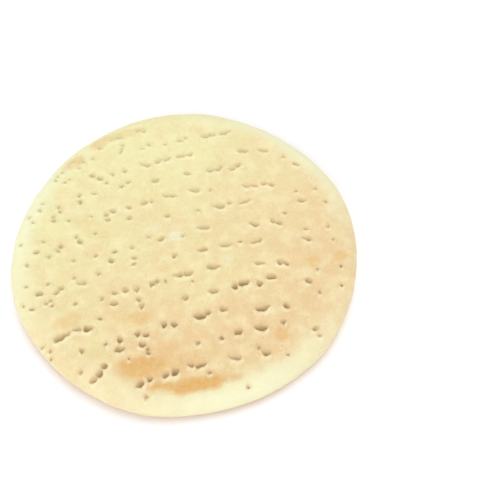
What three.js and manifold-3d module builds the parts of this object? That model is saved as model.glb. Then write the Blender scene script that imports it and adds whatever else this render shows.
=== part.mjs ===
// A par-baked pizza base: one thin round of dough with a full, rounded rim, a flat underside and a
// top pricked all over by a docking roller. Millimetres, +Z up. The underside lies on z = 0 and the
// origin is at the middle of it. +X runs along the rows of docking marks and +Y the way the roller
// travelled.
import * as THREE from 'three';
import { mergeVertices } from 'three/addons/utils/BufferGeometryUtils.js';
import Module from 'manifold-3d';

const wasm = await Module();
wasm.setup();

// Driving dimensions of the round.
const DIAMETER = 230;
const THICKNESS = 14;
const SHOULDER_WIDTH = 15;
const FOOT_INSET = 9;
const WIDEST_HEIGHT = 5.8;
const RIM_FULLNESS = 0.8; // 1 is a plain ellipse, less is fuller

// The round is rolled by hand, so it is slightly out of true: each lobe has a count around the rim,
// a height as a share of the radius, and the direction of its first crest in degrees.
const OUTLINE_LOBES = [
  { count: 3, height: 0.0042, crest: -23 },
  { count: 4, height: 0.0031, crest: 5 },
  { count: 5, height: 0.004, crest: 25 },
  { count: 6, height: 0.0046, crest: 16 },
];

// How finely the round is faceted.
const RIM_SEGMENTS = 96;
const SHOULDER_STEPS = 6;
const FOOT_STEPS = 4;

// The docking roller leaves the same marks again at every turn of its drum.
const ROLLER_TURN = 31.3;
const ROLLER_START = -21.5;
const TURNS_EACH_WAY = 3;
const DOCKED_RADIUS = DIAMETER / 2 - 0.55 * SHOULDER_WIDTH;

// The marks of one turn: where the pin meets the dough, how far it slips sideways in a turn, how
// long and wide its mark is, and how far the mark is turned from the row, in degrees.
const PINS = [
  { x: 61.5, y: 31, slip: 1, long: 9, wide: 4, turn: -20 },
  { x: 46.5, y: 31, slip: 1, long: 9.5, wide: 4, turn: -4 },
  { x: 12, y: 30.5, slip: 4.5, long: 10.5, wide: 4.5, turn: 3 },
  { x: -6, y: 27.5, slip: 3.5, long: 11, wide: 4.5, turn: 4 },
  { x: -20, y: 24, slip: 3, long: 8, wide: 4.5, turn: 12 },
  { x: -36, y: 19.5, slip: 2.5, long: 4.5, wide: 4.5, turn: 10 },
  { x: -47, y: 17.5, slip: 1, long: 4, wide: 3.5, turn: 0 },
  { x: 46.5, y: 18, slip: 4.5, long: 10, wide: 4.5, turn: 18 },
  { x: 36, y: 18, slip: 4.5, long: 4, wide: 3.5, turn: 0 },
  { x: 27, y: 16.5, slip: 2.5, long: 9.5, wide: 4.5, turn: 2 },
  { x: 11.5, y: 13.5, slip: 4, long: 6.5, wide: 4, turn: -4 },
  { x: -8, y: 10, slip: 5, long: 4, wide: 4, turn: 0 },
  { x: -34.5, y: 10, slip: 3, long: 8.5, wide: 3.5, turn: 84 },
  { x: -50, y: 10.5, slip: 3, long: 5, wide: 4.5, turn: -8 },
  { x: -59.5, y: 15, slip: 4, long: 3, wide: 3, turn: 0 },
  { x: -57.5, y: 1, slip: 2, long: 3, wide: 3, turn: 0 },
  { x: -74.5, y: 12.5, slip: 4, long: 3.5, wide: 3, turn: 0 },
  { x: -94, y: 27.5, slip: 4.5, long: 3, wide: 3, turn: 0 },
  { x: -98.5, y: 20, slip: 4, long: 4.5, wide: 3, turn: 0 },
  { x: -103, y: 11.5, slip: 3, long: 3, wide: 3, turn: 0 },
  { x: -109, y: 25.5, slip: 3, long: 2.5, wide: 2.5, turn: 0 },
  { x: -72.5, y: 31, slip: 2, long: 3, wide: 3, turn: 0 },
  { x: -90, y: 15, slip: 1.5, long: 4, wide: 3, turn: 70 },
  { x: 98.5, y: 15, slip: 1, long: 3, wide: 3.5, turn: 0 },
  { x: 81, y: 16, slip: 0, long: 7.5, wide: 4, turn: -12 },
  { x: 96.5, y: 25.5, slip: 4, long: 3, wide: 3, turn: 0 },
  { x: 81.5, y: 24.5, slip: 3.5, long: 3, wide: 3, turn: 0 },
];

// The larger marks that stand out from the roller's pattern, where the dough dragged on the pins or
// tore. Each one takes the place of the roller's own marks out to this far past its ends.
const TORN_CLEARANCE = 3.4;
const TORN_MARKS = [
  { x: 15.5, y: -39, long: 9, wide: 4, turn: 0 },
  { x: 29.5, y: -36.5, long: 5.5, wide: 5, turn: 20 },
  { x: 36, y: -34.5, long: 9, wide: 5, turn: 4 },
  { x: 45.5, y: -36, long: 4.8, wide: 4.6, turn: 0 },
  { x: 53.5, y: -32.5, long: 8, wide: 2.8, turn: 6 },
  { x: 77.5, y: -37, long: 5.5, wide: 3.2, turn: -35 },
  { x: -2.5, y: -42.5, long: 4.8, wide: 3.6, turn: 20 },
  { x: 6, y: -55.5, long: 9, wide: 5, turn: 6 },
  { x: 11, y: -54, long: 5, wide: 3.5, turn: 14 },
  { x: 21, y: -52.5, long: 6.5, wide: 3, turn: -12 },
  { x: 46, y: -52.5, long: 12, wide: 7, turn: 4 },
  { x: 61, y: -53.5, long: 6, wide: 3.5, turn: -28 },
  { x: 43.5, y: -66, long: 10, wide: 6, turn: 0 },
  { x: 57.5, y: -64, long: 4.5, wide: 3, turn: 0 },
  { x: 77, y: -70.5, long: 4.4, wide: 3.2, turn: -50 },
  { x: 45, y: -83.5, long: 7.5, wide: 4.4, turn: 0 },
  { x: 29, y: -68.5, long: 6, wide: 3.5, turn: 8 },
  { x: -78, y: -62.5, long: 14, wide: 3.5, turn: 27 },
  { x: -63, y: -58.5, long: 7.5, wide: 4.5, turn: -12 },
  { x: -69.5, y: -59, long: 6, wide: 1.8, turn: 12 },
  { x: -43.5, y: -67.5, long: 4.4, wide: 3.6, turn: 0 },
  { x: -43.5, y: -74, long: 7.5, wide: 3, turn: 0 },
  { x: -32.5, y: -64.5, long: 4.6, wide: 3.8, turn: 0 },
  { x: -27.5, y: -65.5, long: 4.6, wide: 3.8, turn: 0 },
  { x: -30, y: -71.5, long: 4.8, wide: 4, turn: -10 },
  { x: -52.5, y: -83.5, long: 4.4, wide: 4.6, turn: 50 },
  { x: -54.5, y: -87, long: 4.8, wide: 4.6, turn: 50 },
  { x: -58, y: -91.5, long: 6.5, wide: 3.4, turn: 30 },
  { x: -31.5, y: -96.5, long: 6.5, wide: 4, turn: 30 },
  { x: -25.5, y: -94, long: 4.6, wide: 3.6, turn: 10 },
  { x: -10.5, y: -90.5, long: 6, wide: 5, turn: 10 },
  { x: -16, y: -92.5, long: 5, wide: 3.4, turn: 18 },
  { x: 5, y: -87.5, long: 8, wide: 4.2, turn: 18 },
  { x: -1, y: -87, long: 5, wide: 3.6, turn: 0 },
  { x: -10, y: -60, long: 4.8, wide: 3.8, turn: 0 },
  { x: -98, y: -1.5, long: 5, wide: 3, turn: 0 },
  { x: -70, y: 4, long: 5, wide: 3, turn: -35 },
  { x: -49.5, y: -12, long: 5.5, wide: 2.8, turn: 0 },
  { x: -16, y: 2.5, long: 5.5, wide: 3.4, turn: 25 },
  { x: -67.5, y: -27, long: 8, wide: 2.6, turn: 0 },
  { x: -80.5, y: -29.5, long: 5, wide: 3.2, turn: 10 },
  { x: -83, y: -32, long: 4.6, wide: 2.6, turn: 48 },
  { x: -22.5, y: -31, long: 5.5, wide: 2.8, turn: 8 },
  { x: -40, y: -34.5, long: 4.8, wide: 3, turn: -8 },
  { x: -47, y: -43, long: 5.6, wide: 3, turn: 0 },
  { x: -63.5, y: 58, long: 4.8, wide: 2.6, turn: -35 },
  { x: -58, y: 55, long: 5.4, wide: 3, turn: -30 },
  { x: -42.5, y: 47, long: 4.6, wide: 2.8, turn: 25 },
  { x: -19, y: 50, long: 7.5, wide: 3, turn: 8 },
  { x: -88, y: 22, long: 4.4, wide: 2.6, turn: 0 },
  { x: -52, y: 20, long: 4.6, wide: 2.6, turn: 0 },
  { x: -37.5, y: 29, long: 4.4, wide: 3, turn: 0 },
  { x: -27.5, y: 32.5, long: 6, wide: 5, turn: 30 },
  { x: -37, y: 20.5, long: 4.4, wide: 3.2, turn: 0 },
  { x: -2, y: 3.5, long: 4.4, wide: 2.8, turn: 0 },
];

// The pits taper to a point, and grow deeper the way the roller pressed hardest, toward -Y.
const PIT_SIDES = 6;
const PIT_DEPTH_FAR = 1;
const PIT_DEPTH_NEAR = 2.4;
const PIT_OVERCUT = 0.5; // the cutters stand proud of the top by this much

const WELD_DISTANCE = 0.0001; // corners closer than this are one corner

const radius = DIAMETER / 2;

function outlineRadius(angle) {
  let share = 1;
  for (const lobe of OUTLINE_LOBES) {
    const crest = THREE.MathUtils.degToRad(lobe.crest);
    share += lobe.height * Math.cos(lobe.count * (angle - crest));
  }
  return radius * share;
}

// The rim's section, from the edge of the flat underside out, up and in to the edge of the flat top.
// Each point is how far it lies inside the widest line, and its height.
function rimSection() {
  const section = [];
  for (let step = 0; step < FOOT_STEPS; step += 1) {
    const angle = (Math.PI / 2) * (1 - step / FOOT_STEPS);
    section.push({
      inset: FOOT_INSET * (1 - Math.cos(angle) ** RIM_FULLNESS),
      height: WIDEST_HEIGHT * (1 - Math.sin(angle) ** RIM_FULLNESS),
    });
  }
  for (let step = 0; step <= SHOULDER_STEPS; step += 1) {
    const angle = (Math.PI / 2) * (step / SHOULDER_STEPS);
    section.push({
      inset: SHOULDER_WIDTH * (1 - Math.cos(angle) ** RIM_FULLNESS),
      height: WIDEST_HEIGHT + (THICKNESS - WIDEST_HEIGHT) * Math.sin(angle) ** RIM_FULLNESS,
    });
  }
  return section;
}

// The undocked round: rings of the rim's section, closed by the two flat faces.
function roundOfDough() {
  const section = rimSection();
  const positions = [];
  for (const { inset, height } of section) {
    for (let segment = 0; segment < RIM_SEGMENTS; segment += 1) {
      const angle = (2 * Math.PI * segment) / RIM_SEGMENTS;
      const reach = outlineRadius(angle) - inset;
      positions.push(reach * Math.cos(angle), reach * Math.sin(angle), height);
    }
  }

  const triangles = [];
  for (let ring = 0; ring < section.length - 1; ring += 1) {
    for (let segment = 0; segment < RIM_SEGMENTS; segment += 1) {
      const next = (segment + 1) % RIM_SEGMENTS;
      const low = ring * RIM_SEGMENTS;
      const high = low + RIM_SEGMENTS;
      triangles.push(low + segment, low + next, high + next);
      triangles.push(low + segment, high + next, high + segment);
    }
  }

  const faceOutline = (ring) => {
    const points = [];
    for (let segment = 0; segment < RIM_SEGMENTS; segment += 1) {
      const at = 3 * (ring * RIM_SEGMENTS + segment);
      points.push(new THREE.Vector2(positions[at], positions[at + 1]));
    }
    return points;
  };
  const topRing = section.length - 1;
  for (const [a, b, c] of THREE.ShapeUtils.triangulateShape(faceOutline(0), [])) {
    triangles.push(c, b, a);
  }
  for (const [a, b, c] of THREE.ShapeUtils.triangulateShape(faceOutline(topRing), [])) {
    const first = topRing * RIM_SEGMENTS;
    triangles.push(first + a, first + b, first + c);
  }

  const geometry = new THREE.BufferGeometry();
  geometry.setAttribute('position', new THREE.Float32BufferAttribute(positions, 3));
  geometry.setIndex(triangles);
  return geometry;
}

// One docking mark's cutter: a cone, point down, stretched to the mark's length and width.
function pitCutter({ x, y, long, wide, turn }) {
  const pressed = THREE.MathUtils.clamp((radius - y) / DIAMETER, 0, 1);
  const depth = THREE.MathUtils.lerp(PIT_DEPTH_FAR, PIT_DEPTH_NEAR, pressed);
  const geometry = new THREE.ConeGeometry(1, depth + PIT_OVERCUT, PIT_SIDES);
  geometry.rotateX(-Math.PI / 2);
  geometry.scale(long / 2, wide / 2, 1);
  geometry.rotateZ(THREE.MathUtils.degToRad(turn));
  geometry.translate(x, y, THICKNESS + PIT_OVERCUT - (depth + PIT_OVERCUT) / 2);
  return geometry;
}

function isTornThere(x, y) {
  return TORN_MARKS.some((torn) => {
    return Math.hypot(x - torn.x, y - torn.y) < TORN_CLEARANCE + torn.long / 2;
  });
}

// Every mark that lands on the docked part of the top.
function dockingMarks() {
  const marks = [...TORN_MARKS];
  for (let turn = -TURNS_EACH_WAY; turn <= TURNS_EACH_WAY; turn += 1) {
    for (const pin of PINS) {
      const x = pin.x - pin.slip * turn;
      const y = pin.y + ROLLER_START + ROLLER_TURN * turn;
      const isDocked = Math.hypot(x, y) + pin.long / 2 < DOCKED_RADIUS;
      if (isDocked && !isTornThere(x, y)) {
        marks.push({ ...pin, x, y });
      }
    }
  }
  return marks;
}

function toSolid(geometry) {
  geometry.deleteAttribute('normal');
  geometry.deleteAttribute('uv');
  const merged = mergeVertices(geometry, WELD_DISTANCE);
  const mesh = new wasm.Mesh({
    numProp: 3,
    vertProperties: new Float32Array(merged.attributes.position.array),
    triVerts: new Uint32Array(merged.index.array),
  });
  return new wasm.Manifold(mesh);
}

function toGeometry(solid) {
  const mesh = solid.getMesh();
  const geometry = new THREE.BufferGeometry();
  geometry.setAttribute('position', new THREE.BufferAttribute(mesh.vertProperties, 3));
  geometry.setIndex(new THREE.BufferAttribute(mesh.triVerts, 1));
  return geometry;
}

function dockedRound() {
  let cutters = null;
  for (const mark of dockingMarks()) {
    const cutter = toSolid(pitCutter(mark));
    cutters = cutters ? cutters.add(cutter) : cutter;
  }
  return toGeometry(toSolid(roundOfDough()).subtract(cutters));
}

// Puts the middle of the round's own outline, in plan, on the Z axis.
function centreInPlan(geometry) {
  geometry.computeBoundingBox();
  const middle = geometry.boundingBox.getCenter(new THREE.Vector3());
  geometry.translate(-middle.x, -middle.y, 0);
  geometry.computeVertexNormals();
  return geometry;
}

const bakedDough = new THREE.MeshStandardMaterial({ color: '#efdcaf', roughness: 0.85, metalness: 0 });

const pizzaBase = new THREE.Mesh(centreInPlan(dockedRound()), bakedDough);
pizzaBase.name = 'pizza_base';

const part = new THREE.Group();
part.add(pizzaBase);

export default part;
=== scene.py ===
"""A par-baked pizza base: one round of bread, docked all over its top and browned underneath.

The whole base is one mesh. It is laid out flat first, as two discs that meet at the rim's widest
line, refined where the docking pins go in, then wrapped onto the rim's section and pressed.
Lengths are in metres, angles in radians. +X runs along the rows of docking marks, and +Y the way
the docking roller travelled.
"""
import math
import random
from collections import namedtuple

import bmesh
import bpy
import numpy as np
from mathutils import Matrix, Vector, noise


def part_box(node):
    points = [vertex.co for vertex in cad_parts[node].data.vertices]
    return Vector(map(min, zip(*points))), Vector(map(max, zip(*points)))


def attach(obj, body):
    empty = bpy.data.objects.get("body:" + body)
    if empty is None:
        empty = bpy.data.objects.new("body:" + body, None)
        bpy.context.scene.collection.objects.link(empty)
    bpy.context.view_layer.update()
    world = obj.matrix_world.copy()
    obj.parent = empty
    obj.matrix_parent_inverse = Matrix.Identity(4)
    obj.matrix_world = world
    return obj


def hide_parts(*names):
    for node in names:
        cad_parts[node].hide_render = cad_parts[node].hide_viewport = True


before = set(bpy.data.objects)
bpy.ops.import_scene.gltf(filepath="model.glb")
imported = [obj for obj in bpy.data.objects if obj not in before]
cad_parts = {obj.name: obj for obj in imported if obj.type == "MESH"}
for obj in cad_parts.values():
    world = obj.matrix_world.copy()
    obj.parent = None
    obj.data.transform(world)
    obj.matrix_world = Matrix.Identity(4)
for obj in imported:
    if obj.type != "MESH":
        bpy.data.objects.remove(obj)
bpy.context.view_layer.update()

MM = 0.001
LOW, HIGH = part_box("pizza_base")

# ---------------------------------------------------------------- the round and its rim

RADIUS = 115 * MM
THICKNESS = HIGH[2] - LOW[2]
SHOULDER_WIDTH = 15 * MM
FOOT_INSET = 9 * MM
WIDEST_HEIGHT = 5.8 * MM
RIM_FULLNESS = 0.8  # 1 is a plain ellipse, less is fuller
RIM_STEPS = 240     # how finely the section and the outline are worked out
OUTLINE_STEPS = 720

# Each lobe of the hand-rolled outline: how many there are, their height as a share of the radius,
# and the direction of the first crest.
OUTLINE_LOBES = (
    (3, 0.0042, math.radians(-23)),
    (4, 0.0031, math.radians(5)),
    (5, 0.0040, math.radians(25)),
    (6, 0.0046, math.radians(16)),
)

# ---------------------------------------------------------------- the docking roller

ROLLER_TURN = 31.3 * MM   # how far the roller travels in one turn of its drum
ROLLER_START = -21.5 * MM  # how far its pattern is moved along Y where turn 0 begins
TURNS = range(-3, 4)
DOCKED_RADIUS = RADIUS - 0.55 * SHOULDER_WIDTH  # past this the pins don't reach the dough
MARKS_SEED = 8            # of every random draw that shapes the marks

# The marks of one turn, in millimetres and degrees: x and y of the pin, how far it slips sideways
# in a turn, the length and width of its mark, and the mark's angle from the row.
PINS = (
    (61.5, 31, 1, 9, 4, -20),
    (46.5, 31, 1, 9.5, 4, -4),
    (12, 30.5, 4.5, 10.5, 4.5, 3),
    (-6, 27.5, 3.5, 11, 4.5, 4),
    (-20, 24, 3, 8, 4.5, 12),
    (-36, 19.5, 2.5, 4.5, 4.5, 10),
    (-47, 17.5, 1, 4, 3.5, 0),
    (46.5, 18, 4.5, 10, 4.5, 18),
    (36, 18, 4.5, 4, 3.5, 0),
    (27, 16.5, 2.5, 9.5, 4.5, 2),
    (11.5, 13.5, 4, 6.5, 4, -4),
    (-8, 10, 5, 4, 4, 0),
    (-34.5, 10, 3, 8.5, 3.5, 84),
    (-50, 10.5, 3, 5, 4.5, -8),
    (-59.5, 15, 4, 3, 3, 0),
    (-57.5, 1, 2, 3, 3, 0),
    (-74.5, 12.5, 4, 3.5, 3, 0),
    (-94, 27.5, 4.5, 3, 3, 0),
    (-98.5, 20, 4, 4.5, 3, 0),
    (-103, 11.5, 3, 3, 3, 0),
    (-109, 25.5, 3, 2.5, 2.5, 0),
    (-72.5, 31, 2, 3, 3, 0),
    (-90, 15, 1.5, 4, 3, 70),
    (98.5, 15, 1, 3, 3.5, 0),
    (81, 16, 0, 7.5, 4, -12),
    (96.5, 25.5, 4, 3, 3, 0),
    (81.5, 24.5, 3.5, 3, 3, 0),
)

# The marks that stand out from the roller's pattern, where the dough dragged on the pins or tore:
# x, y, length, width and angle, in millimetres and degrees, and how hard each was pressed.
TORN_MARKS = (
    (15.5, -39, 9, 4, 0, 0.6),
    (29.5, -36.5, 5.5, 5, 20, 1.1),
    (36, -34.5, 9, 5, 4, 1.1),
    (45.5, -36, 4.8, 4.6, 0, 0.9),
    (53.5, -32.5, 8, 2.8, 6, 0.8),
    (77.5, -37, 5.5, 3.2, -35, 0.8),
    (-2.5, -42.5, 4.8, 3.6, 20, 0.55),
    (6, -55.5, 9, 5, 6, 1.15),
    (11, -54, 5, 3.5, 14, 0.8),
    (21, -52.5, 6.5, 3, -12, 0.75),
    (46, -52.5, 12, 7, 4, 1.2),
    (61, -53.5, 6, 3.5, -28, 0.95),
    (43.5, -66, 10, 6, 0, 1.15),
    (57.5, -64, 4.5, 3, 0, 0.85),
    (77, -70.5, 4.4, 3.2, -50, 0.65),
    (79, -74.5, 2.8, 2.6, 0, 0.4),
    (45, -83.5, 7.5, 4.4, 0, 0.95),
    (29, -68.5, 6, 3.5, 8, 0.95),
    (18.5, -71, 4, 3.8, 0, 0.9),
    (4, -73, 4, 3.4, 0, 0.75),
    (-78, -62.5, 14, 3.5, 27, 0.85),
    (-63, -58.5, 7.5, 4.5, -12, 1.1),
    (-69.5, -59, 6, 1.8, 12, 0.45),
    (-43.5, -67.5, 4.4, 3.6, 0, 0.95),
    (-43.5, -74, 7.5, 3, 0, 0.9),
    (-32.5, -64.5, 4.6, 3.8, 0, 0.95),
    (-27.5, -65.5, 4.6, 3.8, 0, 0.95),
    (-30, -71.5, 4.8, 4, -10, 0.95),
    (-26.5, -74.5, 3.4, 3.6, 0, 0.8),
    (-26.5, -77, 3.6, 3.2, 0, 0.8),
    (-52.5, -83.5, 4.6, 3.6, 50, 0.9),
    (-55, -87.5, 5.4, 3.8, 50, 1),
    (-58.5, -91.5, 7, 2.8, 30, 0.65),
    (-31.5, -96.5, 6.5, 4, 30, 1.1),
    (-25.5, -94, 4.6, 3.6, 10, 0.95),
    (-10.5, -90.5, 6, 5, 10, 1.25),
    (-16, -92.5, 5, 3.4, 18, 0.9),
    (5, -87.5, 8, 4.2, 18, 1),
    (-1, -87, 5, 3.6, 0, 0.8),
    (-16.5, -59.5, 4.2, 5, 0, 1.1),
    (-10, -60, 4.8, 3.8, 0, 0.95),
    (-66, -72.5, 4.2, 3.2, 0, 0.7),
    (-98, -1.5, 5, 3, 0, 0.42),
    (-82.5, 2, 3.6, 3.8, 0, 0.59),
    (-84, -1, 3.2, 4.2, 0, 0.38),
    (-89.5, -5, 3.4, 3.6, 0, 0.34),
    (-70, 4, 5, 3, -35, 0.47),
    (-72.5, 8.5, 3.6, 3.8, 0, 0.42),
    (-49.5, -12, 5.5, 2.8, 0, 0.51),
    (-16, 2.5, 5.5, 3.4, 25, 0.51),
    (-34.5, -10.5, 4, 3.2, 0, 0.47),
    (-34.5, -15, 3.4, 2.8, 0, 0.38),
    (-67.5, -27, 8, 2.6, 0, 0.3),
    (-80.5, -29.5, 5, 3.2, 10, 0.51),
    (-83, -32, 4.6, 2.6, 48, 0.47),
    (-22.5, -31, 5.5, 2.8, 8, 0.6),
    (-20, -28.5, 3.6, 4.8, 0, 0.68),
    (-40, -34.5, 4.8, 3, -8, 0.51),
    (-47, -43, 5.6, 3, 0, 0.59),
    (-32, -41, 4.2, 3.8, 0, 0.55),
    (-30, -45.5, 4.2, 4.6, 0, 0.65),
    (-63.5, 58, 4.8, 2.6, -35, 0.26),
    (-58, 55, 5.4, 3, -30, 0.34),
    (-53.5, 51.5, 3.2, 3, 0, 0.3),
    (-38, 51, 3.8, 3.2, 0, 0.38),
    (-42.5, 47, 4.6, 2.8, 25, 0.3),
    (-19, 50, 7.5, 3, 8, 0.3),
    (-85.5, 33.5, 3.4, 4, 0, 0.38),
    (-84.5, 30, 3.2, 3.2, 0, 0.34),
    (-88.5, 26, 3.2, 3.6, 0, 0.3),
    (-88, 22, 4.4, 2.6, 0, 0.3),
    (-72, 42.5, 3.2, 3.8, 0, 0.45),
    (-71, 37, 3.8, 5.2, 0, 0.65),
    (-53, 25, 3.8, 4, 0, 0.38),
    (-52, 20, 4.6, 2.6, 0, 0.34),
    (-37.5, 29, 4.4, 3, 0, 0.34),
    (-27.5, 32.5, 6, 5, 30, 0.42),
    (-37, 20.5, 4.4, 3.2, 0, 0.34),
    (-2, 3.5, 4.4, 2.8, 0, 0.2),
    (9.5, 23.5, 3, 2.4, 0, 0.3),
)
TORN_CLEARANCE = 3.4 * MM       # past its ends, a torn mark takes the place of the roller's marks

# Stray pin pricks, mostly near the rim, and their usual size, in millimetres.
PRICKS = (
    (-28, -103.5), (32, -102.5), (57.5, -86), (41, -79.5), (2.5, -30.5), (98, -41), (84, -45.5),
    (-38, -79.5), (-66.5, -85), (-84.5, -75), (-86, -70), (-90.5, -67.5), (-104, -39), (-98, -42),
    (-103, -26.5), (-72.5, -21.5), (-86.5, -37), (-85.5, -41), (-41, -33), (-14.5, -29.5), (-96, 37),
    (-98, 31.5), (-105, 26.5), (-102, 22.5), (-89, 56.5), (-87.5, 60), (-79.5, 55.5), (-84.5, 63),
    (-73.5, 66), (-70.5, 71), (-109, 5.5), (-44, 77.5), (-28, 79.5), (-11.5, 82.5), (3.5, 88),
    (-22.5, 33), (19, 40), (10, -92), (-25, 4.5), (68.5, 17),
)
PRICK_SIZE = 3.0

# How the roller's marks vary: how far each wanders along and across its row, the range of its length
# and of a prick's size as shares of the usual, and how far it tilts, in degrees.
MARK_WANDER_ALONG = 0.5 * MM
MARK_WANDER_ACROSS = 0.4 * MM
MARK_LENGTHS = (0.85, 1.2)
PRICK_SIZES = (0.8, 1.2)
MARK_TILT = 3

# How hard the roller pressed, from 0 to 1: in the middle, and how much more at the near rim, toward -Y,
# and at the right rim.
PRESSURE_MIDDLE = 0.5
PRESSURE_TO_NEAR = 0.42
PRESSURE_TO_RIGHT = 0.12

# How the marks are pressed. A mark is a row of bites, one for each knock of a pin. A long bite is cut
# steeply along its bowed near edge, toward -Y, and slopes gently up to its far side; a short one is
# a round hole. A lip is raised beyond the near edge of both, and the dough round them is dented.
BITE_LENGTH = 8.0 * MM
STEEP_BITE_LENGTH = 3.4 * MM    # in a mark that runs across the rows
STEEP = math.radians(50)
SHORT_BITE = 2.1 * MM           # a bite with a half length under this is a round hole
SHORT_MARK = 7.0 * MM           # a mark shorter than this has one lobe
SPLIT_SHARE = 0.4               # the share of the longer marks that have two lobes
DEPTH_FAR = 0.5 * MM            # of a mark that was hardly pressed
DEPTH_NEAR = 1.7 * MM           # and of one that was pressed hard
LONG_DEPTH = 1.2                # how deep a long bite is, as a share of that
ROUND_DEPTH = 0.9               # and how deep a short one is
SLOPE_HOLLOW = 1.15             # 1 is a straight slope, more is hollower
WALL_WIDTH = 0.9 * MM           # of the steep near wall, seen from above
FLOOR_WIDTH = 1.7 * MM          # how far a bite reaches from its near edge, with no far slope
SLOPE_WIDTH = 4.8 * MM          # and how much the gentlest far slope adds
MARK_SHADE_REACH = 1.7 * MM      # how far painted shade reaches round a mark
LIP_HEIGHT = 0.5 * MM
LIP_WIDTH = 2.1 * MM
LIP_SPAN = 1.15             # how long a lip is, as a share of its bite
LIP_CLEARANCE = 0.2 * MM    # in a hole this deep there is no lip
DENT_DEPTH = 0.8 * MM
DENT_REACH = 6.0 * MM
BITE_REACH = 3 * DENT_REACH  # past this a bite changes nothing
RAGGED = 0.8 * MM           # how far the marks' edges wander
RAGGED_LENGTH = 3.0 * MM    # and over what length

# How the bites vary. For the roller's marks: how far a bite wanders along and across the row, its half
# length as a share of the bites' spacing, its width and how hard it was pressed as shares of the mark's,
# and its tilt in degrees. Then, for them and for the torn marks, the slope, skew and blunt of a Bite.
BITE_WANDER_ALONG = 0.15 * MM
BITE_WANDER_ACROSS = 0.3 * MM
BITE_OVERLAPS = (0.56, 0.7)
BITE_WIDTHS = (0.6, 1.25)
BITE_FORCES = (0.7, 1.2)
BITE_TILT = 5
BITE_SLOPES = (0.35, 1.0)
BITE_SKEW = 0.45
BITE_BLUNTNESS = (1.5, 4.0)
TORN_SLOPES = (0.6, 1.0)
TORN_SKEW = 0.35
TORN_BLUNTNESS = (1.6, 3.0)

# The dots of the pins' tips on the underside: half length in millimetres, width as a share of it,
# how hard each was pressed, and how far it tilts, in degrees.
TIP_SIZES = (0.9, 1.7)
TIP_WIDTHS = (0.6, 1.0)
TIP_FORCES = (0.3, 0.8)
TIP_TILT = 30

# half_long and half_wide are the bite's size along and across it, hard is how hard it was pressed,
# slope is how gently it rises to its far side, skew puts the low point of its near edge left or
# right of its middle, and blunt is that edge's shape, from 1 for a V to 4 for a U.
Bite = namedtuple("Bite", "x y half_long half_wide hard angle slope skew blunt")

# How far the skin swells in and out and how far apart the lumps are, at three sizes of lump. Below
# the height of FLAT_FOOT it swells less and less, and the foot is flat.
SWELLS = (
    (0.55 * MM, 34 * MM),
    (0.3 * MM, 11 * MM),
    (0.08 * MM, 3.4 * MM),
)
FLAT_FOOT = 3 * MM

# The marks fade out where the skin is steep, and the underside's look fades in where it faces down.
# Each pair is how far the skin's normal points up, or down, where that fade starts and ends.
PRESSED_SLOPES = (0.1, 0.7)
UNDERSIDE_SLOPES = (-0.1, 0.8)

# Toasted patches and traces of flour on top, in millimetres and degrees: x, y, half length, half
# width, angle and strength.
TOAST_SPOTS = (
    (-29, -86, 17, 8, -4, 0.85),
    (-14, -81, 24, 9, -6, 0.3),
    (1, -99.5, 24, 4.8, 7, 1),
    (-17, -99, 12, 3.2, -8, 0.95),
    (-32, -54, 9, 5.5, -8, 0.5),
    (-44, -50, 14, 6, -30, 0.25),
    (56, -71, 7, 5, 60, 0.6),
    (101, -20.5, 6, 4.5, 0, 0.55),
    (82, -23.5, 6, 4, 10, 0.4),
    (-77, 70, 8, 5, 40, 0.55),
    (-55, 89, 13, 5, 25, 0.45),
    (-38, 95, 13, 4.5, 12, 0.35),
    (-75, -52.5, 9, 5, 20, 0.3),
    (-62, 15, 16, 8, -30, 0.2),
)
FLOUR_SPOTS = (
    (-7, 3.5, 5.5, 4.5, 0, 1),
    (5, 12, 5, 3, -20, 0.5),
    (27, -16, 4, 3, 0, 0.6),
    (-21, 11, 8, 4, 30, 0.35),
)

# How warm the skin's colour is, from 0 to 1: in the middle of the round, how much more at its right and
# near rims, and how much more at the foot of the rim, and the heights between which that fades out.
WARMTH_MIDDLE = 0.6
WARMTH_TO_RIGHT = 0.4
WARMTH_TO_NEAR = 0.5
WARMTH_ON_RIM = 0.45
RIM_EASE = (2 * MM, 10 * MM)

# The pale part of the rim: where it starts and is full, in from the edge, and its first crest.
PALE_INSET = 19 * MM
PALE_FULL_INSET = 6 * MM
PALE_CREST = math.radians(-75)

# The toasted band low on the rim, with painted contact shadow in it: the heights between which it fades in,
# and out again.
FOOT_BAND_START = (0.2 * MM, 1.2 * MM)
FOOT_BAND_END = (2.4 * MM, 6.4 * MM)

# What lay on the hot plate, in from the edge: where the browning starts, where it is full, and where
# its darker ring lies.
PLATE_INSET = 8 * MM
PLATE_FULL_INSET = 17 * MM
RING_INSET = 22 * MM
RING_WIDTH = 9 * MM

# Underneath, the dough lifts off the plate round each pin's tip and stays pale there.
HALO_WIDTH = 2.2 * MM
HALO_SQUASH = 1.25          # how many times longer a halo's reach is along its dot than across it

# The mesh: cells across each flat disc, how many cuts are made across each side of a cell near a mark,
# and how far from a mark that goes on.
CELLS = 150
CUTS_ON_TOP = 3
CUTS_UNDERNEATH = 2
REFINE_REACH = 1.4 * MM
EDGE_MARGIN = 1e-5          # a point this close to the unit disc's edge lies on it

# Where the two flat discs lie on the UV square.
UV_RADIUS = 0.28
UV_TOP = np.array((0.29, 0.29))
UV_UNDERSIDE = np.array((0.71, 0.71))


def outline_radius(angle):
    share = 1.0
    for count, height, crest in OUTLINE_LOBES:
        share = share + height * np.cos(count * (angle - crest))
    return RADIUS * share


def outline_middle():
    """The middle of the outline's own box, which the part is centred on."""
    angle = np.linspace(0, 2 * math.pi, OUTLINE_STEPS, endpoint=False)
    x = outline_radius(angle) * np.cos(angle)
    y = outline_radius(angle) * np.sin(angle)
    return (x.min() + x.max()) / 2, (y.min() + y.max()) / 2


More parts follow.
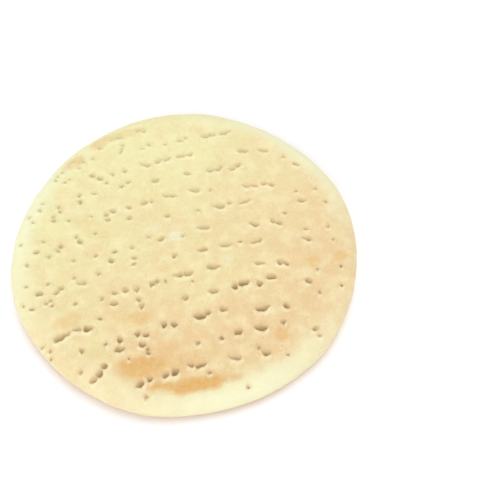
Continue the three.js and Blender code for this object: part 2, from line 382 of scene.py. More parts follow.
def rim_curve(width, rise):
    """A quarter of the rim's section, from the flat face out to the widest line.

    Gives three rows: the distance along the curve, how far inside the widest line the curve still
    is, and how far it has dropped from the face. The inset runs from the whole width down to none.
    """
    turn = np.linspace(math.pi / 2, 0, RIM_STEPS)
    inset = width * (1 - np.abs(np.cos(turn)) ** RIM_FULLNESS)
    drop = rise * (1 - np.sin(turn) ** RIM_FULLNESS)
    steps = np.hypot(np.diff(inset), np.diff(drop))
    return np.concatenate(([0], np.cumsum(steps))), inset, drop


SHOULDER = rim_curve(SHOULDER_WIDTH, THICKNESS - WIDEST_HEIGHT)
FOOT = rim_curve(FOOT_INSET, WIDEST_HEIGHT)


def disc_layout(cells):
    """A unit disc of square cells, with points (n, 2) and the corners of each cell (m, 4)."""
    side = np.linspace(-1, 1, cells + 1)
    a, b = [grid.ravel() for grid in np.meshgrid(side, side)]
    wide = np.abs(a) > np.abs(b)
    reach = np.where(wide, a, b)
    ratio = np.divide(np.where(wide, b, a), reach, out=np.zeros_like(reach), where=reach != 0)
    angle = np.where(wide, math.pi / 4 * ratio, math.pi / 2 - math.pi / 4 * ratio)
    points = np.column_stack((reach * np.cos(angle), reach * np.sin(angle)))
    first = (np.arange(cells)[:, None] * (cells + 1) + np.arange(cells)).ravel()
    corners = np.column_stack((first, first + 1, first + cells + 2, first + cells + 1))
    return points, corners


def wrap(flat, upper):
    """Carries points of the flat disc onto the undocked round: its upper or its lower half."""
    curve, width = (SHOULDER, SHOULDER_WIDTH) if upper else (FOOT, FOOT_INSET)
    along, inset, drop = curve
    face_radius = RADIUS - width
    distance = np.hypot(flat[:, 0], flat[:, 1]) * (face_radius + along[-1])
    angle = np.arctan2(flat[:, 1], flat[:, 0])
    edge = outline_radius(angle)
    past_face = np.clip(distance - face_radius, 0, along[-1])
    on_face = distance / face_radius * (edge - width)
    on_rim = edge - np.interp(past_face, along, inset)
    reach = np.where(distance < face_radius, on_face, on_rim)
    lost = np.interp(past_face, along, drop)
    height = THICKNESS - lost if upper else lost
    middle_x, middle_y = outline_middle()
    x = reach * np.cos(angle) - middle_x
    y = reach * np.sin(angle) - middle_y
    return np.column_stack((x, y, height))


# ---------------------------------------------------------------- docking marks


def roller_marks(chance):
    """The roller's marks and the pricks: x, y, length, width and angle, in metres and radians."""
    marks = []
    for turn in TURNS:
        for pin_x, pin_y, slip, long, wide, angle in PINS:
            x = (pin_x - slip * turn) * MM
            y = pin_y * MM + ROLLER_START + ROLLER_TURN * turn
            docked = math.hypot(x, y) + long / 2 * MM < DOCKED_RADIUS
            if docked and not lost_in_tear(x, y):
                marks.append((
                    x + chance.gauss(0, MARK_WANDER_ALONG),
                    y + chance.gauss(0, MARK_WANDER_ACROSS),
                    long * MM * chance.uniform(*MARK_LENGTHS),
                    wide * MM,
                    math.radians(angle + chance.gauss(0, MARK_TILT)),
                ))
    for x, y in PRICKS:
        size = PRICK_SIZE * chance.uniform(*PRICK_SIZES) * MM
        marks.append((x * MM, y * MM, size, size, 0.0))
    return marks


def lost_in_tear(x, y):
    """Whether a torn mark takes the place of a roller's mark there."""
    for torn_x, torn_y, long, _, _, _ in TORN_MARKS:
        if math.hypot(x - torn_x * MM, y - torn_y * MM) < TORN_CLEARANCE + long / 2 * MM:
            return True
    return False


def pressure(x, y):
    """How hard the roller pressed there, from 0 to 1: most on the near side, least far and left."""
    share = PRESSURE_MIDDLE - PRESSURE_TO_NEAR * y / RADIUS + PRESSURE_TO_RIGHT * x / RADIUS
    return min(max(share, 0.0), 1.0)


def bites_of(marks, chance):
    """Cuts every mark into its row of bites."""
    bites = []
    for x, y, long, wide, angle in marks:
        steep = abs(angle) > STEEP
        count = max(1, round(long / (STEEP_BITE_LENGTH if steep else BITE_LENGTH)))
        if count == 1 and long > SHORT_MARK and chance.random() < SPLIT_SHARE:
            count = 2
        spacing = long / count
        for number in range(count):
            along = (number - (count - 1) / 2) * spacing
            bites.append(Bite(
                x=x + along * math.cos(angle) + chance.gauss(0, BITE_WANDER_ALONG),
                y=y + along * math.sin(angle) + chance.gauss(0, BITE_WANDER_ACROSS),
                half_long=spacing * (0.5 if count == 1 else chance.uniform(*BITE_OVERLAPS)),
                half_wide=wide / 2 * chance.uniform(*BITE_WIDTHS),
                hard=pressure(x, y) * chance.uniform(*BITE_FORCES),
                angle=math.radians(chance.gauss(0, BITE_TILT)) + (0 if steep else angle),
                slope=chance.uniform(*BITE_SLOPES),
                skew=chance.uniform(-BITE_SKEW, BITE_SKEW),
                blunt=chance.uniform(*BITE_BLUNTNESS),
            ))
    return bites


def torn_bites(chance):
    """The torn marks, which are one bite each."""
    bites = []
    for x, y, long, wide, angle, hard in TORN_MARKS:
        bites.append(Bite(
            x=x * MM,
            y=y * MM,
            half_long=long / 2 * MM,
            half_wide=wide / 2 * MM,
            hard=hard,
            angle=math.radians(angle),
            slope=chance.uniform(*TORN_SLOPES),
            skew=chance.uniform(-TORN_SKEW, TORN_SKEW),
            blunt=chance.uniform(*TORN_BLUNTNESS),
        ))
    return bites


def pin_tips(places, chance):
    """The dots that the pins' tips leave on the underside, as bites."""
    tips = []
    for x, y in places:
        size = chance.uniform(*TIP_SIZES) * MM
        lean = math.radians(chance.uniform(-TIP_TILT, TIP_TILT))
        tips.append(Bite(
            x=x,
            y=y,
            half_long=size,
            half_wide=size * chance.uniform(*TIP_WIDTHS),
            hard=chance.uniform(*TIP_FORCES),
            angle=lean,
            slope=1.0,
            skew=0.0,
            blunt=2.0,
        ))
    return tips


def smooth(value, low, high):
    """0 below low, 1 above high and an even ease between."""
    share = np.clip((value - low) / (high - low), 0, 1)
    return share * share * (3 - 2 * share)


def in_bite(points, bite):
    """The points near a bite, and how far along and across it they are, in its half length and width."""
    dx = points[:, 0] - bite.x
    dy = points[:, 1] - bite.y
    near = np.flatnonzero(dx * dx + dy * dy < BITE_REACH ** 2)
    dx = dx[near]
    dy = dy[near]
    along = (dx * math.cos(bite.angle) + dy * math.sin(bite.angle)) / bite.half_long
    across = (dy * math.cos(bite.angle) - dx * math.sin(bite.angle)) / bite.half_wide
    return near, along, across


def share_out(bite, along, across, reach):
    """How far out each point is, where 1 is the edge of an oval that goes reach beyond the bite."""
    along = along * bite.half_long / (bite.half_long + reach)
    across = across * bite.half_wide / (bite.half_wide + reach)
    return np.hypot(along, across)


def bite_depth(bite):
    return DEPTH_FAR + (DEPTH_NEAR - DEPTH_FAR) * bite.hard


def near_edge(bite, along):
    """How far the near edge of a bite bows out at each place along it, in its half width."""
    along = np.clip(along, -1, 1)
    leaned = along + bite.skew * (1 - along * along)
    return np.clip(1 - np.abs(leaned) ** bite.blunt, 0, 1)


def long_hole(bite, along, across):
    """The depth of a long bite: steep at its near edge, and sloping up to its far side."""
    bow = near_edge(bite, along)
    past_edge = (across + bow) * bite.half_wide
    wall = smooth(past_edge, 0, WALL_WIDTH)
    reach = FLOOR_WIDTH + SLOPE_WIDTH * bite.slope * (0.2 + 0.8 * bow)
    slope = np.clip(1 - past_edge / reach, 0, 1) ** SLOPE_HOLLOW
    ends = smooth(1 - np.abs(along), 0, 0.35)
    return LONG_DEPTH * bite_depth(bite) * wall * slope * ends * (0.45 + 0.55 * bow)


def round_hole(bite, along, across):
    """The depth of a short bite, whose deepest point lies toward its near edge."""
    ring = np.hypot(along, across + 0.2)
    return ROUND_DEPTH * bite_depth(bite) * (1 - smooth(ring, 0.0, 1.15))


def lip_beyond(bite, along, across):
    """How much of a lip stands beyond a bite's near edge, as a share of LIP_HEIGHT."""
    bow = near_edge(bite, along / LIP_SPAN)
    past_edge = (across + bow) * bite.half_wide
    crest = np.exp(-((past_edge + 0.5 * LIP_WIDTH) / (0.55 * LIP_WIDTH)) ** 2) * smooth(bow, 0, 0.5)
    return crest * (0.65 + 0.35 * bite.hard)


def dent_round(bite, along, across):
    """How much the dough is dented round a bite, as a share of DENT_DEPTH."""
    spread = (along * bite.half_long) ** 2 + (across * bite.half_wide) ** 2
    return np.exp(-spread / DENT_REACH ** 2) * bite.hard


def mark_shade_round(bite, along, across):
    """How much painted shade darkens the dough in and round a bite: more where it was pressed harder."""
    out = share_out(bite, along, across, MARK_SHADE_REACH)
    return (1 - smooth(out, 0.25, 1.0)) * (0.45 + 0.55 * bite.hard)


def press(points, bites):
    """How the bites press each point.

    Gives how far it goes down and, from 0 to 1, how deep it is in a hole, how high it is on a lip
    and how much painted shade it gets from the marks round it.
    """
    ragged = points.copy()
    ragged[:, 0] += RAGGED * ripple(points, RAGGED_LENGTH, 51)
    ragged[:, 1] += RAGGED * ripple(points, RAGGED_LENGTH, 52)
    hole, lip, dent, mark_shade = np.zeros((4, len(points)))
    for bite in bites:
        near, along, across = in_bite(ragged, bite)
        hole_shape = round_hole if bite.half_long < SHORT_BITE else long_hole
        shapes = ((hole, hole_shape), (lip, lip_beyond), (dent, dent_round), (mark_shade, mark_shade_round))
        for field, shape in shapes:
            field[near] = np.maximum(field[near], shape(bite, along, across))
    lip = lip * (1 - smooth(hole, 0, LIP_CLEARANCE))
    down = hole + DENT_DEPTH * dent - LIP_HEIGHT * lip
    return down, np.clip(hole / DEPTH_NEAR, 0, 1), lip, mark_shade * (1 - lip)


def ripple(points, wavelength, seed):
    """A smooth random swell between about -1 and 1 at each point. Each use has its own seed."""
    drift = Vector((7.3 * seed, 3.1 * seed, 5.7 * seed))
    return np.array([noise.noise(Vector(point) / wavelength + drift) for point in points])


# ---------------------------------------------------------------- the mesh


def on_disc_edge(flat):
    """Which points lie on the edge of the flat disc, where the two halves meet."""
    return np.hypot(flat[:, 0], flat[:, 1]) > 1 - EDGE_MARGIN


def half_mesh(upper, bites):
    """One half of the base as a bmesh on the flat layout, refined near the marks."""
    points, cells = disc_layout(CELLS)
    half = bmesh.new()
    corners = [half.verts.new((x, y, 0)) for x, y in points]
    for cell in cells:
        half.faces.new([corners[index] for index in cell])
    half.verts.index_update()

    on_round = wrap(points, upper)
    marked = np.zeros(len(points), dtype=bool)
    for bite in bites:
        near, along, across = in_bite(on_round, bite)
        marked[near[share_out(bite, along, across, REFINE_REACH) < 1]] = True
    marked[on_disc_edge(points)] = False
    edges = [edge for edge in half.edges if all(marked[vert.index] for vert in edge.verts)]
    cuts = CUTS_ON_TOP if upper else CUTS_UNDERNEATH
    bmesh.ops.subdivide_edges(half, edges=edges, cuts=cuts, use_grid_fill=True, use_single_edge=True)
    bmesh.ops.triangulate(half, faces=[face for face in half.faces if len(face.verts) > 4])
    return half


def join_halves(upper, lower):
    """One closed mesh from the two flat halves, with each corner's place on the UV square.

    Both halves number the corners of the layout alike, so the lower half's edge points are left
    out and the upper half's are used in their place.
    """
    flat_up = np.array([vert.co[:2] for vert in upper.verts])
    flat_low = np.array([vert.co[:2] for vert in lower.verts])
    on_edge = on_disc_edge(flat_low)
    number = np.cumsum(~on_edge) - 1 + len(flat_up)
    number = np.where(on_edge, np.arange(len(flat_low)), number)

    positions = np.vstack((wrap(flat_up, True), wrap(flat_low[~on_edge], False)))
    faces = []
    corners = []
    for face in upper.faces:
        indices = [vert.index for vert in face.verts]
        faces.append(indices)
        corners.extend(UV_TOP + UV_RADIUS * flat_up[index] for index in indices)
    for face in lower.faces:
        indices = [vert.index for vert in reversed(face.verts)]
        faces.append([int(number[index]) for index in indices])
        corners.extend(UV_UNDERSIDE + UV_RADIUS * flat_low[index] for index in indices)
    return positions, faces, np.array(corners), len(flat_up)


def swell(points, normals):
    """Moves the skin in and out along its normals, as dough rises unevenly. The foot stays flat."""
    height = np.zeros(len(points))
    for seed, (size, wavelength) in enumerate(SWELLS, start=1):
        height = height + size * ripple(points, wavelength, seed)
    height = height * smooth(points[:, 2], 0, FLAT_FOOT)
    return points + normals * height[:, None]


def mesh_normals(mesh):
    normals = np.empty(len(mesh.vertices) * 3)
    mesh.vertices.foreach_get("normal", normals)
    return normals.reshape(-1, 3)


def move_vertices(mesh, points):
    mesh.vertices.foreach_set("co", np.asarray(points, dtype=np.float64).ravel())
    mesh.update()


def add_attribute(mesh, name, values):
    layer = mesh.attributes.new(name, "FLOAT", "POINT")
    layer.data.foreach_set("value", np.asarray(values, dtype=np.float32))


def patches(points, spots, seed):
    """Soft-edged patches with ragged outlines: strongest in the middle of each spot, 0 outside."""
    ragged = 0.35 * ripple(points, 9 * MM, seed) + 0.2 * ripple(points, 3.5 * MM, seed + 1)
    cover = np.zeros(len(points))
    for x, y, half_long, half_wide, angle, strength in spots:
        turn = math.radians(angle)
        dx = points[:, 0] - x * MM
        dy = points[:, 1] - y * MM
        u = (dx * math.cos(turn) + dy * math.sin(turn)) / (half_long * MM)
        v = (dy * math.cos(turn) - dx * math.sin(turn)) / (half_wide * MM)
        cover = np.maximum(cover, strength * (1 - smooth(np.hypot(u, v) + ragged, 0.55, 1.25)))
    return cover


def low_on_rim(points):
    """1 at the foot of the rim, easing to 0 up its shoulder."""
    return 1 - smooth(points[:, 2], *RIM_EASE)


def warmth(points):
    """How far the skin has gone from cream to peach: least far and left, and more low on the rim."""
    lean = WARMTH_MIDDLE + WARMTH_TO_RIGHT * points[:, 0] / RADIUS - WARMTH_TO_NEAR * points[:, 1] / RADIUS
    lean = lean + WARMTH_ON_RIM * low_on_rim(points)
    lean = lean + 0.22 * ripple(points, 45 * MM, 41) + 0.12 * ripple(points, 18 * MM, 42)
    return np.clip(lean, 0, 1)


def rim_paleness(points):
    """How pale the rim is: most at three places round its shoulder, and none inside it."""
    reach = np.hypot(points[:, 0], points[:, 1])
    angle = np.arctan2(points[:, 1], points[:, 0])
    crests = 0.55 + 0.45 * np.cos(3 * (angle - PALE_CREST))
    inner = RADIUS - PALE_INSET + 5 * MM * ripple(points, 25 * MM, 43)
    return crests * smooth(reach, inner, RADIUS - PALE_FULL_INSET) * (1 - 0.6 * low_on_rim(points))


def toast_and_contact_shadow(points):
    """How toasted the rim is low down, with painted contact shadow in it: a thin, uneven band just above
    the hot plate, most at -Y, where the shadow is painted strongest.
    """
    height = points[:, 2] - 0.6 * MM * ripple(points, 14 * MM, 44)
    band = smooth(height, *FOOT_BAND_START) * (1 - smooth(height, *FOOT_BAND_END))
    return band * (0.35 + 0.65 * smooth(-points[:, 1] / RADIUS, 0.0, 0.8))


def underside_toast(points):
    """How brown the underside is, from 0 to 1.

    It is strongest in a broken ring at the edge of what lay on the hot plate, and in blotches and
    streaks inside it. The rim, which the plate didn't reach, stays pale.
    """
    reach = np.hypot(points[:, 0], points[:, 1]) + 5 * MM * ripple(points, 22 * MM, 21)
    on_plate = 1 - smooth(reach, RADIUS - PLATE_FULL_INSET, RADIUS - PLATE_INSET)
    ring = np.exp(-((reach - RADIUS + RING_INSET) / RING_WIDTH) ** 2)
    ring = ring * smooth(ripple(points, 38 * MM, 24), -0.25, 0.35)
    blotches = smooth(ripple(points, 42 * MM, 22) + 0.45 * ripple(points, 15 * MM, 23), -0.3, 0.75)
    along_rows = points * (0.3, 1.0, 1.0)
    streaks = smooth(ripple(along_rows, 13 * MM, 25), -0.1, 0.6)
    brown = 0.28 + 0.45 * blotches + 0.4 * ring + 0.25 * streaks
    return on_plate * np.clip(brown, 0, 1)


def halos(points, tips):
    """Pale rings round the dots of the underside, where the dough lifted off the plate."""
    ring = np.zeros(len(points))
    wander = 0.7 * MM * ripple(points, 4 * MM, 26)
    for tip in tips:
        near, along, across = in_bite(points, tip)
        distance = np.hypot(along * tip.half_long, HALO_SQUASH * across * tip.half_wide) + wander[near]
        width = HALO_WIDTH * (0.6 + tip.hard)
        ring[near] = np.maximum(ring[near], 1 - smooth(distance, tip.half_long, tip.half_long + width))
    return ring


def build_base():
    chance = random.Random(MARKS_SEED)
    marks = roller_marks(chance)
    torn = torn_bites(chance)
    top_bites = bites_of(marks, chance) + torn
    places = [mark[:2] for mark in marks] + [(bite.x, bite.y) for bite in torn]
    tips = pin_tips(places, chance)

    upper = half_mesh(True, top_bites)
    lower = half_mesh(False, tips)
    points, faces, corners, upper_count = join_halves(upper, lower)
    upper.free()
    lower.free()

    mesh = bpy.data.meshes.new("pizza_base_bread")
    mesh.from_pydata(points.tolist(), [], faces)
    mesh.uv_layers.new(name="OFBake").uv.foreach_set("vector", corners.ravel())
    mesh.shade_smooth()
    dock(mesh, points, upper_count, top_bites, tips)

    base = bpy.data.objects.new("pizza_base_bread", mesh)
    bpy.context.scene.collection.objects.link(base)
    return base


def dock(mesh, points, upper_count, top_bites, tips):
    """Swells the skin, presses the marks into both faces, and records what colours it."""
    normals = mesh_normals(mesh)
    points = swell(points, normals)
    down, inside, lip, shade_round_mark = press(points[:upper_count], top_bites)
    points[:upper_count, 2] -= down * smooth(normals[:upper_count, 2], *PRESSED_SLOPES)
    up, tip, _, _ = press(points[upper_count:], tips)
    points[upper_count:, 2] += np.maximum(up, 0)
    move_vertices(mesh, points)

    below = np.arange(len(points)) >= upper_count
    none_below = np.zeros(len(points) - upper_count)
    # How deep each point lies in a pit or a tip's dot, which sets the painted shade there.
    add_attribute(mesh, "pit", np.concatenate((inside, tip)))
    # On top the painted highlight on the marks' lips, underneath the pale halos round the pins' tips.
    add_attribute(mesh, "lip_highlight_and_halo", np.concatenate((lip, halos(points[upper_count:], tips))))
    # Painted shade round the marks, on top only.
    add_attribute(mesh, "shade_round_mark", np.concatenate((shade_round_mark, none_below)))
    add_attribute(mesh, "toast", np.where(below, underside_toast(points), patches(points, TOAST_SPOTS, 11)))
    add_attribute(mesh, "underside", smooth(-mesh_normals(mesh)[:, 2], *UNDERSIDE_SLOPES))
    add_attribute(mesh, "flour", np.where(below, 0, patches(points, FLOUR_SPOTS, 31)))
    add_attribute(mesh, "warmth", warmth(points))
    add_attribute(mesh, "paleness", rim_paleness(points))
    add_attribute(mesh, "foot", toast_and_contact_shadow(points))


# ---------------------------------------------------------------- the look of the bread


def colour(red, green, blue):
    """A colour given as it looks on screen, from 0 to 255, as the shader's linear colour."""
    def linear(value):
        share = value / 255
        return share / 12.92 if share <= 0.04045 else ((share + 0.055) / 1.055) ** 2.4
    return linear(red), linear(green), linear(blue), 1.0


PALE_CREAM = colour(234, 232, 174)
PEACH = colour(229, 199, 148)
YELLOW_CREAM = colour(229, 222, 160)
ROSY_CREAM = colour(234, 206, 158)
RIM_CREAM = colour(238, 238, 199)
# Pale mottling and grain of the skin, and the painted highlight on the lips of the marks.
LIGHT_CREAM_AND_HIGHLIGHT = colour(249, 240, 198)
HALO_CREAM = colour(236, 214, 172)
FLOUR_WHITE = colour(240, 236, 214)
TAN = colour(212, 186, 138)
TOASTED = colour(221, 172, 98)
BROWN_PALE = colour(226, 196, 136)
BROWN_MIDDLE = colour(226, 168, 104)
BROWN_DEEP = colour(218, 134, 70)
# The next three are painted shade: the two lighter ones in the slopes of the marks, round them and in the
# pores, and the darkest deep in the pits, over slightly browner dough.
PINK_SHADE = colour(218, 188, 144)
OLIVE_SHADE = colour(209, 197, 144)
BROWN_AND_PIT_SHADE = colour(168, 141, 90)

# The mottling of the pale skin, one layer over another: the size of its patches, how much finer
# detail they have and how rough that is, where in the noise a patch starts and where it is full, and
# the share and the colour of a full patch.
MOTTLING = (
    (11 * MM, 3.0, 0.55, 0.5, 0.72, 0.5, ROSY_CREAM),
    (3.2 * MM, 4.0, 0.65, 0.4, 0.75, 0.2, TAN),
    (8.0 * MM, 3.0, 0.55, 0.4, 0.75, 0.34, LIGHT_CREAM_AND_HIGHLIGHT),
)

BREAD_FINISH = (
    ("Subsurface Weight", 0.12),
    ("Subsurface Radius", (1.0, 0.55, 0.3)),
    ("Subsurface Scale", 1.5 * MM),
    ("Specular IOR Level", 0.25),
    ("Sheen Weight", 0.15),
    ("Sheen Roughness", 0.6),
)
RELIEF_STRENGTH = 0.8
RELIEF_HEIGHT = 0.4 * MM


class Nodes:
    """Short calls for laying out the shader nodes of one material."""

    def __init__(self, name):
        self.material = bpy.data.materials.new(name)
        self.material.use_nodes = True
        self.tree = self.material.node_tree
        self.shader = self.tree.nodes["Principled BSDF"]
        self.place = self.tree.nodes.new("ShaderNodeTexCoord").outputs["Object"]

    def put(self, value, socket):
        if isinstance(value, bpy.types.NodeSocket):
            self.tree.links.new(value, socket)
        else:
            socket.default_value = value

    def attribute(self, name):
        node = self.tree.nodes.new("ShaderNodeAttribute")
        node.attribute_name = name
        return node.outputs["Fac"]

    def noise(self, wavelength, detail=3.0, roughness=0.55):
        node = self.tree.nodes.new("ShaderNodeTexNoise")
        self.put(self.place, node.inputs["Vector"])
        self.put(1 / wavelength, node.inputs["Scale"])
        self.put(detail, node.inputs["Detail"])
        self.put(roughness, node.inputs["Roughness"])
        return node.outputs["Fac"]

    def cells(self, wavelength):
        node = self.tree.nodes.new("ShaderNodeTexVoronoi")
        self.put(self.place, node.inputs["Vector"])
        self.put(1 / wavelength, node.inputs["Scale"])
        return node.outputs["Distance"]

    def ease(self, value, low, high, start=0.0, end=1.0):
        """Carries value smoothly from start, at low, to end, at high."""
        node = self.tree.nodes.new("ShaderNodeMapRange")
        node.interpolation_type = "SMOOTHSTEP"
        self.put(value, node.inputs["Value"])
        for name, number in (("From Min", low), ("From Max", high), ("To Min", start), ("To Max", end)):
            self.put(number, node.inputs[name])
        return node.outputs["Result"]

    def math(self, operation, first, second):
        node = self.tree.nodes.new("ShaderNodeMath")
        node.operation = operation
        self.put(first, node.inputs[0])
        self.put(second, node.inputs[1])
        return node.outputs["Value"]

    def times(self, first, second):
        return self.math("MULTIPLY", first, second)

    def mix(self, share, first, second):
        node = self.tree.nodes.new("ShaderNodeMix")
        node.data_type = "RGBA"
        self.put(share, node.inputs["Factor"])
        self.put(first, node.inputs["A"])
        self.put(second, node.inputs["B"])
        return node.outputs["Result"]


def pale_skin(nodes, warmth_share, grit, pores):
    """Cream at the edges and peach toward the middle, mottled and finely gritty, with painted shade in its
    pores and a pale rim.
    """
    skin = nodes.mix(warmth_share, PALE_CREAM, PEACH)
    yellow = nodes.ease(nodes.noise(16 * MM, 4.0), 0.42, 0.68, 0.0, 0.55)
    yellow = nodes.times(yellow, nodes.ease(warmth_share, 0.3, 1.0, 1.0, 0.4))
    skin = nodes.mix(yellow, skin, YELLOW_CREAM)
    for size, detail, roughness, start, full, share, tint in MOTTLING:
        layer = nodes.ease(nodes.noise(size, detail, roughness), start, full, 0.0, share)
        skin = nodes.mix(layer, skin, tint)
    skin = nodes.mix(nodes.ease(grit, 0.5, 0.8, 0.0, 0.65), skin, LIGHT_CREAM_AND_HIGHLIGHT)
    skin = nodes.mix(nodes.ease(grit, 0.5, 0.25, 0.0, 0.22), skin, TAN)
    # Painted shade in the small pores.
    skin = nodes.mix(nodes.times(pores, 0.3), skin, PINK_SHADE)
    return nodes.mix(nodes.times(nodes.attribute("paleness"), 0.85), skin, RIM_CREAM)


def open_pores(nodes):
    """Small pores, which come in crowds."""
    crowds = nodes.ease(nodes.noise(6 * MM, 2.0), 0.4, 0.6)
    return nodes.times(nodes.ease(nodes.cells(2.2 * MM), 0.26, 0.08), crowds)


def toasted_skin(nodes, skin, toast):
    """The toasted line low on the rim, with painted contact shadow in it, and the toasted patches of the
    top.
    """
    skin = nodes.mix(nodes.times(nodes.attribute("foot"), 0.75), skin, TOASTED)
    grain = nodes.ease(nodes.noise(2.6 * MM, 3.0), 0.3, 0.7, 0.75, 1.0)
    return nodes.mix(nodes.times(toast, grain), skin, TOASTED)


def browned_underside(nodes, skin, toast, underside, lip_highlight_and_halo):
    """The underside, browned by the hot plate, with pale rings round the pins' tips."""
    browned = nodes.mix(nodes.ease(toast, 0.2, 0.6), BROWN_PALE, BROWN_MIDDLE)
    browned = nodes.mix(nodes.ease(toast, 0.5, 1.0), browned, BROWN_DEEP)
    browned = nodes.mix(nodes.times(lip_highlight_and_halo, 0.85), browned, HALO_CREAM)
    return nodes.mix(nodes.times(underside, nodes.ease(toast, 0.0, 0.3)), skin, browned)


def marked_skin(nodes, skin, warmth_share, underside, lip_highlight_and_halo):
    """A painted highlight on the marks' lips, the flour on the skin, and painted shade in and round the
    pits, over slightly browner dough deep in them.
    """
    # Painted highlight on the raised lips of the marks.
    lips = nodes.times(lip_highlight_and_halo, nodes.ease(underside, 0, 1, 0.65, 0))
    skin = nodes.mix(lips, skin, LIGHT_CREAM_AND_HIGHLIGHT)
    dusted = nodes.times(nodes.attribute("flour"), nodes.ease(nodes.noise(1.8 * MM, 2.0), 0.2, 0.6))
    skin = nodes.mix(nodes.times(dusted, 0.62), skin, FLOUR_WHITE)
    # Soft painted shade, olive on the cream skin and pink on the peach skin.
    soft_shade = nodes.mix(warmth_share, OLIVE_SHADE, PINK_SHADE)
    pit = nodes.attribute("pit")
    # Painted shade round each mark, then in the slopes of the pits.
    skin = nodes.mix(nodes.times(nodes.attribute("shade_round_mark"), 0.72), skin, soft_shade)
    skin = nodes.mix(nodes.ease(pit, 0.0, 0.35, 0.0, 0.7), skin, soft_shade)
    # Painted shade deep in the pits, over slightly browner dough.
    return nodes.mix(nodes.ease(pit, 0.12, 1.0, 0.0, 0.9), skin, BROWN_AND_PIT_SHADE)


def skin_relief(nodes, grit, pores):
    """The fine relief of the skin: grit and pores over small blisters."""
    fine = nodes.math("SUBTRACT", nodes.times(grit, 0.8), nodes.times(pores, 0.6))
    bump = nodes.tree.nodes.new("ShaderNodeBump")
    nodes.put(RELIEF_STRENGTH, bump.inputs["Strength"])
    nodes.put(RELIEF_HEIGHT, bump.inputs["Distance"])
    nodes.put(nodes.math("ADD", fine, nodes.noise(4.5 * MM, 2.0)), bump.inputs["Height"])
    return bump.outputs["Normal"]


def bread_material():
    nodes = Nodes("baked_dough")
    warmth_share = nodes.attribute("warmth")
    toast = nodes.attribute("toast")
    underside = nodes.attribute("underside")
    lip_highlight_and_halo = nodes.attribute("lip_highlight_and_halo")
    grit = nodes.noise(0.7 * MM, 3.0, 0.7)
    pores = open_pores(nodes)

    skin = pale_skin(nodes, warmth_share, grit, pores)
    skin = toasted_skin(nodes, skin, toast)
    skin = browned_underside(nodes, skin, toast, underside, lip_highlight_and_halo)
    skin = marked_skin(nodes, skin, warmth_share, underside, lip_highlight_and_halo)
    nodes.put(skin, nodes.shader.inputs["Base Color"])

    roughness = nodes.ease(nodes.noise(5 * MM), 0.3, 0.7, 0.72, 0.9)
    nodes.put(roughness, nodes.shader.inputs["Roughness"])
    nodes.put(skin_relief(nodes, grit, pores), nodes.shader.inputs["Normal"])
    for name, value in BREAD_FINISH:
        nodes.put(value, nodes.shader.inputs[name])
    return nodes.material


# ---------------------------------------------------------------- floor, light and camera

FLOOR_HALF = 6.0
FLOOR_WHITE = colour(252, 252, 252)

BACKDROP_WHITE = (1.0, 1.0, 1.0, 1.0)
GLOW_TINT = (1.0, 0.88, 0.78, 1.0)
GLOW_STRENGTH = 0.465

# The broad lights: name, where each shines from, how wide it looks in degrees, and how strong it is.
LIGHT_TINT = (0.93, 1.01, 1.1)
SOFT_LIGHTS = (
    ("key", (0.35, 0.5, 1.25), 55, 1.6),
    ("front_fill", (0.05, -1.25, 0.5), 50, 1.3),
    ("left_fill", (-1.25, -0.2, 0.5), 50, 0.95),
)

CAMERA_SENSOR = 36.0   # in the camera's own millimetres
CAMERA_LENS = 46.08
CAMERA_CLIP = 10 * MM
CAMERA_LIFT = math.radians(59.5)
CAMERA_ROLL = math.radians(2.9)
CAMERA_TURN = math.radians(-8.0)
CAMERA_PLACE = Vector((0.105 * RADIUS, -1.919 * RADIUS, 3.2685 * RADIUS + WIDEST_HEIGHT))


def add_floor():
    corners = [(x * FLOOR_HALF, y * FLOOR_HALF, 0) for x, y in ((-1, -1), (1, -1), (1, 1), (-1, 1))]
    mesh = bpy.data.meshes.new("floor")
    mesh.from_pydata(corners, [], [(0, 1, 2, 3)])
    floor = bpy.data.objects.new("floor", mesh)
    bpy.context.scene.collection.objects.link(floor)
    nodes = Nodes("pale_floor")
    nodes.put(FLOOR_WHITE, nodes.shader.inputs["Base Color"])
    nodes.put(0.9, nodes.shader.inputs["Roughness"])
    nodes.put(0.0, nodes.shader.inputs["Specular IOR Level"])
    mesh.materials.append(nodes.material)


def add_soft_light(name, toward, spread, strength):
    """A broad light from far off, which falls evenly on the whole floor."""
    light = bpy.data.lights.new(name, "SUN")
    light.angle = math.radians(spread)
    light.energy = strength
    light.color = LIGHT_TINT
    lamp = bpy.data.objects.new(name, light)
    lamp.rotation_euler = (-Vector(toward)).to_track_quat("-Z", "Y").to_euler()
    bpy.context.scene.collection.objects.link(lamp)


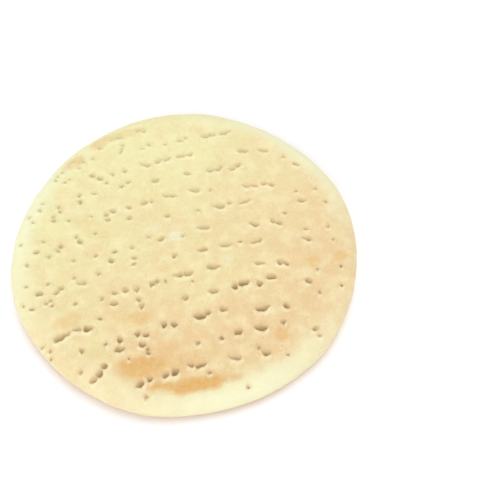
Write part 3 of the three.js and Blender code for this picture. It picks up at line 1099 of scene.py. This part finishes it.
def add_world():
    """A bright studio: white where the camera sees it, and a slightly warm light on everything."""
    world = bpy.data.worlds.new("studio")
    world.use_nodes = True
    tree = world.node_tree
    glow = tree.nodes["Background"]
    glow.inputs["Color"].default_value = GLOW_TINT
    glow.inputs["Strength"].default_value = GLOW_STRENGTH
    backdrop = tree.nodes.new("ShaderNodeBackground")
    backdrop.inputs["Color"].default_value = BACKDROP_WHITE
    mix = tree.nodes.new("ShaderNodeMixShader")
    tree.links.new(tree.nodes.new("ShaderNodeLightPath").outputs["Is Camera Ray"], mix.inputs["Fac"])
    tree.links.new(glow.outputs["Background"], mix.inputs[1])
    tree.links.new(backdrop.outputs["Background"], mix.inputs[2])
    tree.links.new(mix.outputs["Shader"], tree.nodes["World Output"].inputs["Surface"])
    bpy.context.scene.world = world


def add_light():
    view = bpy.context.scene.view_settings
    view.view_transform = "Standard"
    view.look = "None"
    add_world()
    for name, toward, spread, strength in SOFT_LIGHTS:
        add_soft_light(name, toward, spread, strength)


def add_camera():
    """The camera stands in front of the base and high above it, and looks down, a little turned."""
    camera = bpy.data.cameras.new("camera")
    camera.sensor_width = CAMERA_SENSOR
    camera.lens = CAMERA_LENS
    camera.clip_start = CAMERA_CLIP
    forward = Vector((0, math.cos(CAMERA_LIFT), -math.sin(CAMERA_LIFT)))
    level_up = Vector((0, math.sin(CAMERA_LIFT), math.cos(CAMERA_LIFT)))
    side = Vector((1, 0, 0))
    right = math.cos(CAMERA_ROLL) * side + math.sin(CAMERA_ROLL) * level_up
    up = math.cos(CAMERA_ROLL) * level_up - math.sin(CAMERA_ROLL) * side
    turned = Matrix.Rotation(CAMERA_TURN, 3, "Z") @ Matrix((right, up, -forward)).transposed()
    holder = bpy.data.objects.new("camera", camera)
    holder.matrix_world = Matrix.Translation(CAMERA_PLACE) @ turned.to_4x4()
    bpy.context.scene.collection.objects.link(holder)
    bpy.context.scene.camera = holder


base = build_base()
base.data.materials.append(bread_material())
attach(base, "root")
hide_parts("pizza_base")

add_floor()
add_light()
add_camera()
